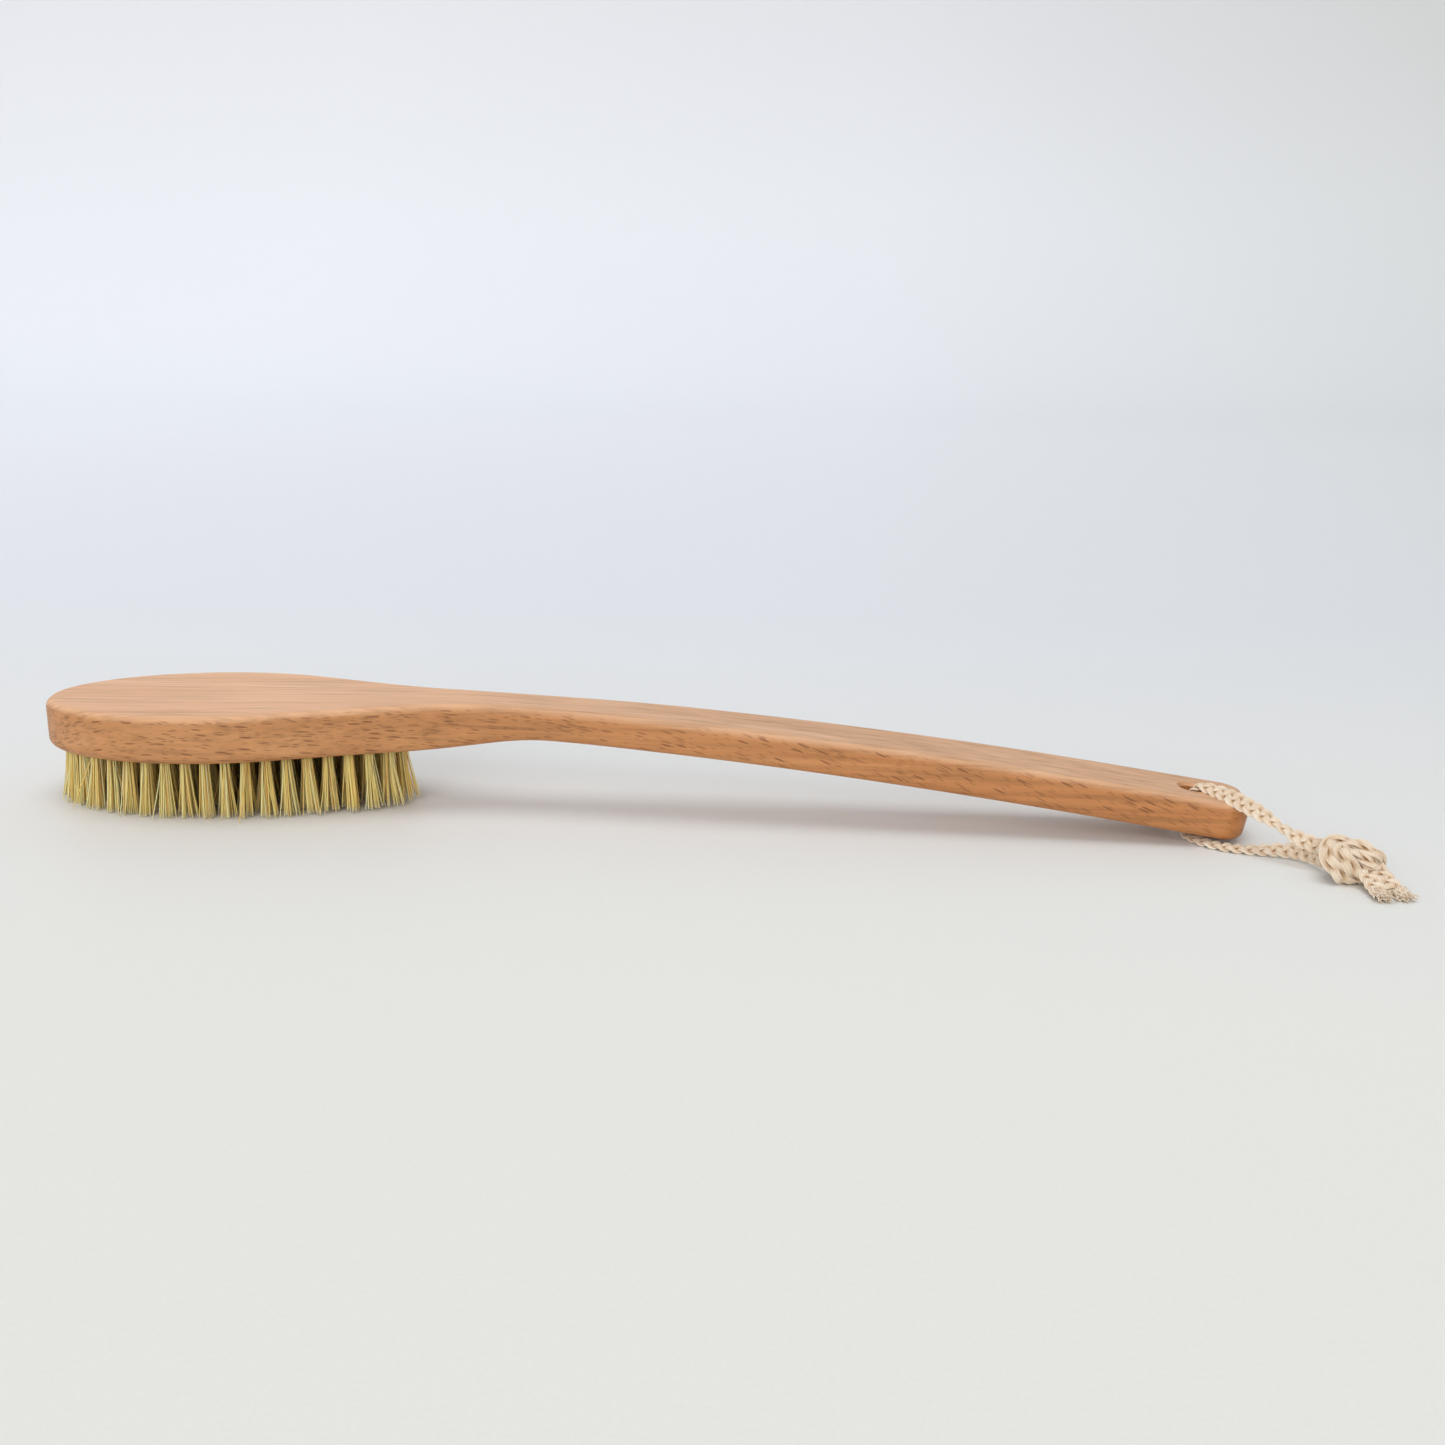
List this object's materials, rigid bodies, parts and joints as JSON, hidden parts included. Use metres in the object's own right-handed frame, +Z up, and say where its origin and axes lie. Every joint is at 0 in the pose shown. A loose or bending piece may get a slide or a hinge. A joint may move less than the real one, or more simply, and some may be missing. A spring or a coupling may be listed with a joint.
{
  "type": "body dry brush",
  "caption": "Long-handled wooden body brush with an oval head of plant-fibre tufts, a curved handle and a knotted cord loop for hanging.",
  "frame": {"origin": "centre of the bounding box of the brush without its cord, on the surface that the tuft tips stand on", "axes": "+X from the nose of the head to the end of the handle, +Z up from the tuft tips to the back of the head, Y across"},
  "size_m": [0.4583, 0.0956, 0.039],
  "materials": {
    "beech": "oiled satin",
    "plant_fibre": "coarse fibre",
    "anchor_wire": "drawn flat wire",
    "cotton_cord": "undyed plait"
  },
  "bodies": {
    "brush": {"brush_body": "beech", "bristles_centre_1": "plant_fibre", "bristles_centre_2": "plant_fibre", "bristles_fourth_1": "plant_fibre", "bristles_fourth_2": "plant_fibre", "bristles_fourth_3": "plant_fibre", "bristles_outer_1": "plant_fibre", "bristles_outer_2": "plant_fibre", "bristles_outer_3": "plant_fibre", "bristles_outer_4": "plant_fibre", "bristles_outer_5": "plant_fibre", "bristles_outer_6": "plant_fibre", "bristles_second_1": "plant_fibre", "bristles_second_2": "plant_fibre", "bristles_second_3": "plant_fibre", "bristles_second_4": "plant_fibre", "bristles_second_5": "plant_fibre", "bristles_third_1": "plant_fibre", "bristles_third_2": "plant_fibre", "bristles_third_3": "plant_fibre", "bristles_third_4": "plant_fibre", "anchors_centre_1": "anchor_wire", "anchors_centre_2": "anchor_wire", "anchors_fourth_1": "anchor_wire", "anchors_fourth_2": "anchor_wire", "anchors_fourth_3": "anchor_wire", "anchors_outer_1": "anchor_wire", "anchors_outer_2": "anchor_wire", "anchors_outer_3": "anchor_wire", "anchors_outer_4": "anchor_wire", "anchors_outer_5": "anchor_wire", "anchors_outer_6": "anchor_wire", "anchors_second_1": "anchor_wire", "anchors_second_2": "anchor_wire", "anchors_second_3": "anchor_wire", "anchors_second_4": "anchor_wire", "anchors_second_5": "anchor_wire", "anchors_third_1": "anchor_wire", "anchors_third_2": "anchor_wire", "anchors_third_3": "anchor_wire", "anchors_third_4": "anchor_wire"},
    "hanging_loop": {"cord_upper_leg": "cotton_cord", "cord_lower_leg": "cotton_cord", "cord_knot": "cotton_cord", "cord_left_tail": "cotton_cord", "cord_right_tail": "cotton_cord"}
  },
  "joints": [
    {"name": "loop_swing", "type": "hinge", "parent": "brush", "child": "hanging_loop", "pos_m": [0.18968, 0, 0.01018], "axis": [0.1392, 0, 0.9903], "range_deg": [-75, 145]}
  ]
}
